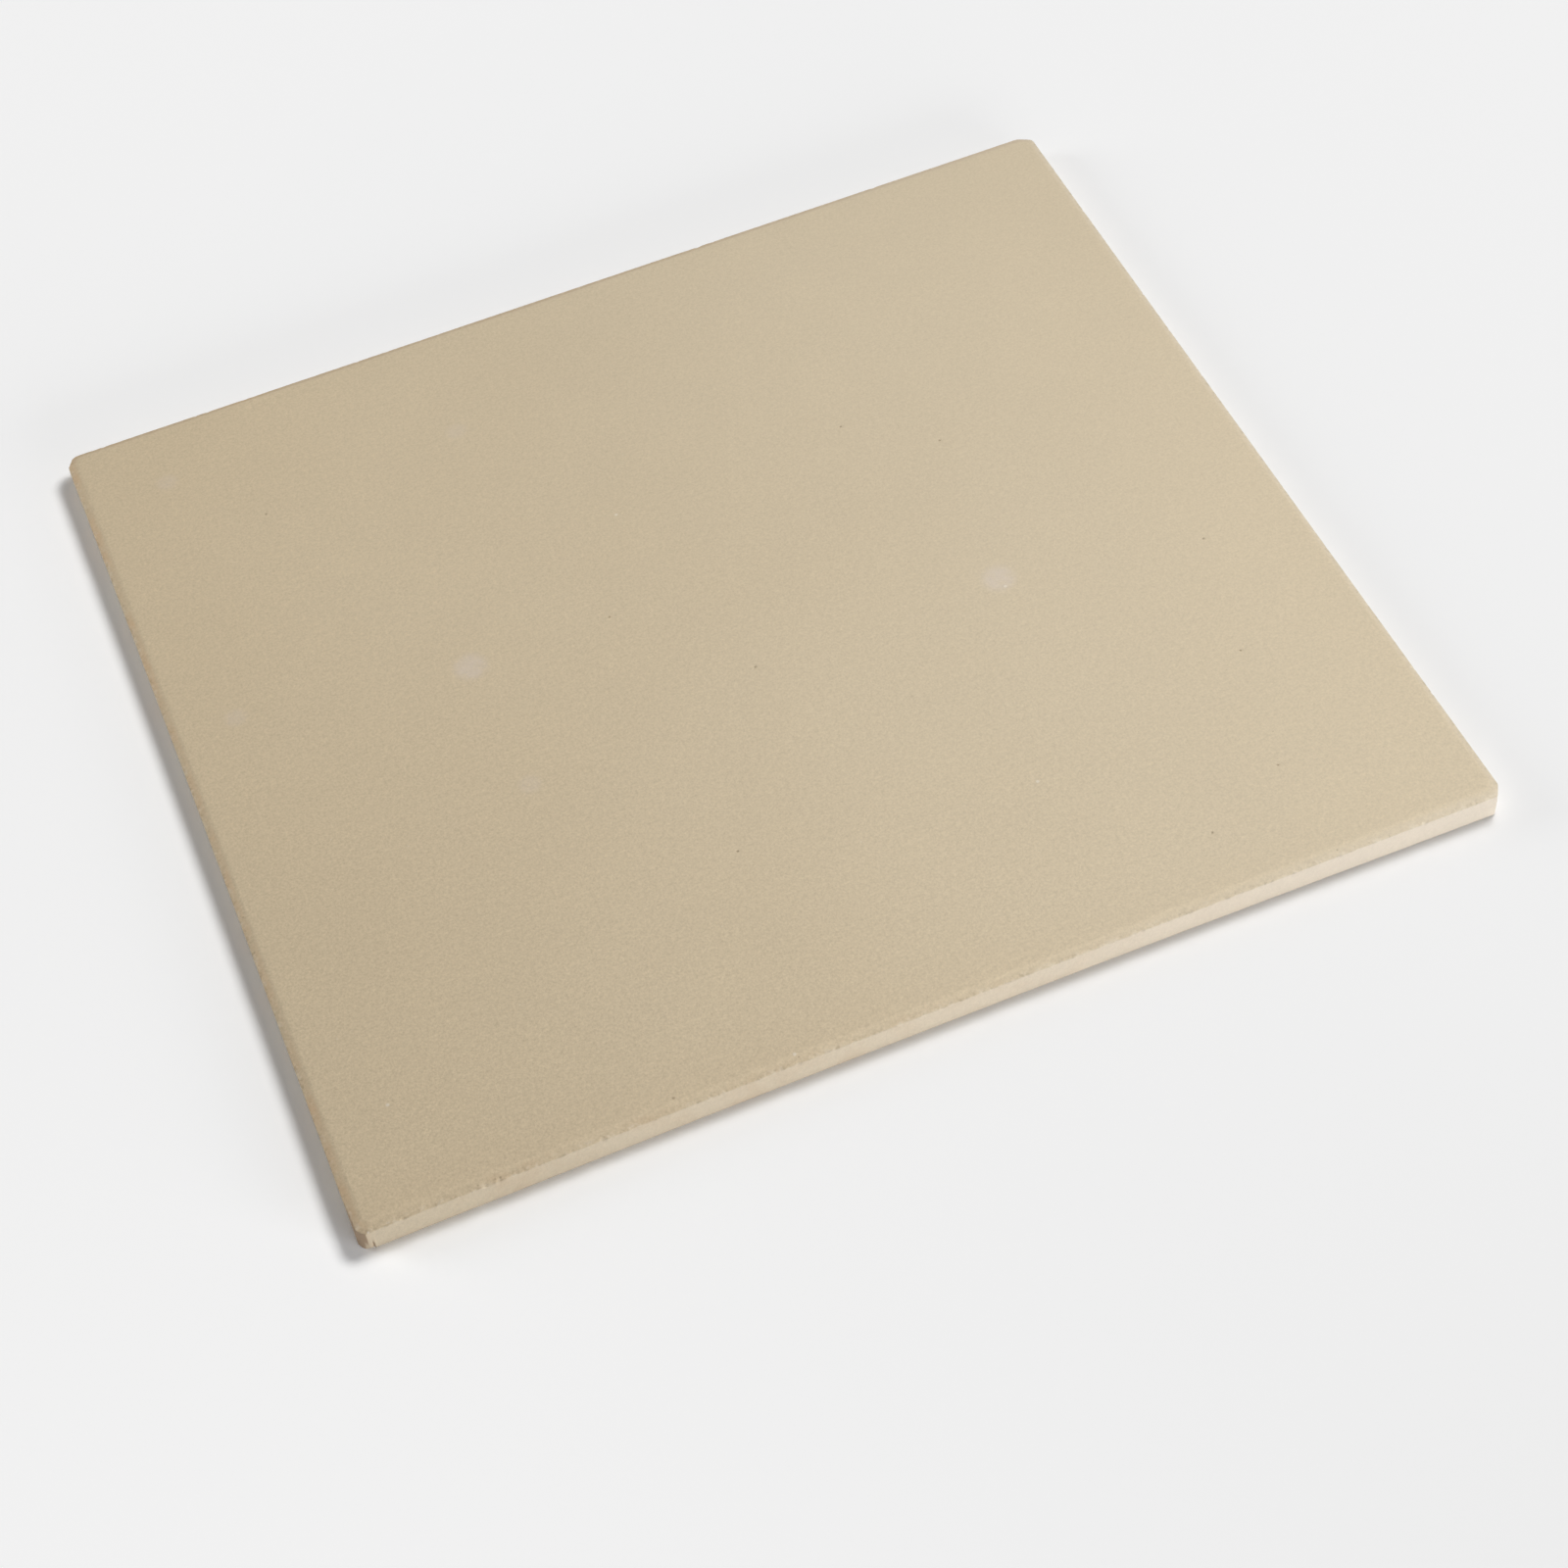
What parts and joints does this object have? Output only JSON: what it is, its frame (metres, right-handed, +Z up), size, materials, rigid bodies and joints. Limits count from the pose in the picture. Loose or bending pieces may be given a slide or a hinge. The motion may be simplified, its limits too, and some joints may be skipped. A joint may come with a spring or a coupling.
{
  "type": "pizza stone",
  "caption": "Flat, nearly square unglazed ceramic baking slab with a bevelled baking face and cut corners, laid on an oven rack to bake pizza and bread.",
  "frame": {"origin": "middle of the underside, the face that the slab rests on", "axes": "+X along the long front side, +Y from the front side to the back, +Z up out of the baking face"},
  "size_m": [0.381, 0.356, 0.0095],
  "materials": {
    "fired_clay": "unglazed, matt, fine sandy grain"
  },
  "bodies": {
    "root": {"baking_stone": "fired_clay"}
  },
  "joints": []
}
